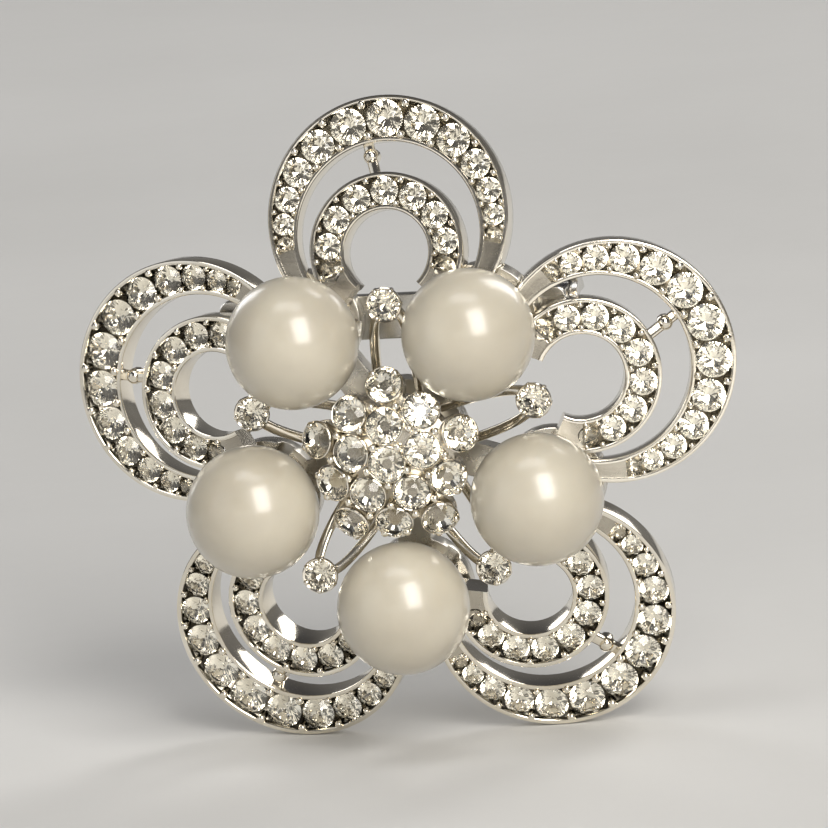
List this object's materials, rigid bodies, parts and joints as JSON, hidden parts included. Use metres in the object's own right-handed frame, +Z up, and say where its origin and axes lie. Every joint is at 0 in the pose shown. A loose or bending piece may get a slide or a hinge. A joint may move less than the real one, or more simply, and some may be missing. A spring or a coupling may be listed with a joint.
{
  "type": "flower brooch",
  "caption": "Domed flower brooch with pierced double-band petals, pavé stones, pearls between the petals, a raised pavé centre and a hinged bar pin with a rotating safety catch.",
  "frame": {"origin": "on the flower's axis, in the plane where the backs of the petal tips rest on the garment", "axes": "+Z up as worn, along the top petal; -Y is the way the flower faces; +X to the right of a person facing it"},
  "size_m": [0.0504, 0.0187, 0.0488],
  "materials": {
    "plated_setting": "bright rhodium plate with raised polished rims",
    "plated_frame": "rhodium plate over a cast surface, less polished than the front",
    "cup_metal": "bright rhodium plate",
    "pin_finding": "plated steel, lightly brushed",
    "crystal": "clear foil-backed rhinestone, faceted",
    "pearl": "cream imitation pearl, soft nacre gloss"
  },
  "bodies": {
    "root": {"back_frame": "plated_frame", "base_setting_1": "plated_setting", "base_setting_2": "plated_setting", "base_setting_3": "plated_setting", "base_setting_4": "plated_setting", "base_setting_5": "plated_setting", "base_stone_1": "crystal", "base_stone_2": "crystal", "base_stone_3": "crystal", "base_stone_4": "crystal", "base_stone_5": "crystal", "catch_housing": "pin_finding", "centre_setting": "plated_setting", "centre_stones": "crystal", "hinge_bracket": "pin_finding", "hinge_rivet": "pin_finding", "inner_stones_1": "crystal", "inner_stones_2": "crystal", "inner_stones_3": "crystal", "inner_stones_4": "crystal", "inner_stones_5": "crystal", "outer_stones_1": "crystal", "outer_stones_2": "crystal", "outer_stones_3": "crystal", "outer_stones_4": "crystal", "outer_stones_5": "crystal", "pearl_1": "pearl", "pearl_2": "pearl", "pearl_3": "pearl", "pearl_4": "pearl", "pearl_5": "pearl", "pearl_cup_1": "cup_metal", "pearl_cup_2": "cup_metal", "pearl_cup_3": "cup_metal", "pearl_cup_4": "cup_metal", "pearl_cup_5": "cup_metal", "petal_1": "plated_setting", "petal_2": "plated_setting", "petal_3": "plated_setting", "petal_4": "plated_setting", "petal_5": "plated_setting", "pin_bar": "pin_finding"},
    "pin": {"pin_stem": "pin_finding"},
    "rotor": {"catch_rotor": "pin_finding"}
  },
  "joints": [
    {"name": "pin_hinge", "type": "hinge", "parent": "root", "child": "pin", "pos_m": [-0.012, 0.0006, 0.0092], "axis": [0, 0, 1], "range_deg": [0, 80]},
    {"name": "catch_turn", "type": "hinge", "parent": "root", "child": "rotor", "pos_m": [0.0115, 0.0006, 0.0092], "axis": [-1, 0, 0], "range_deg": [0, 140]}
  ]
}
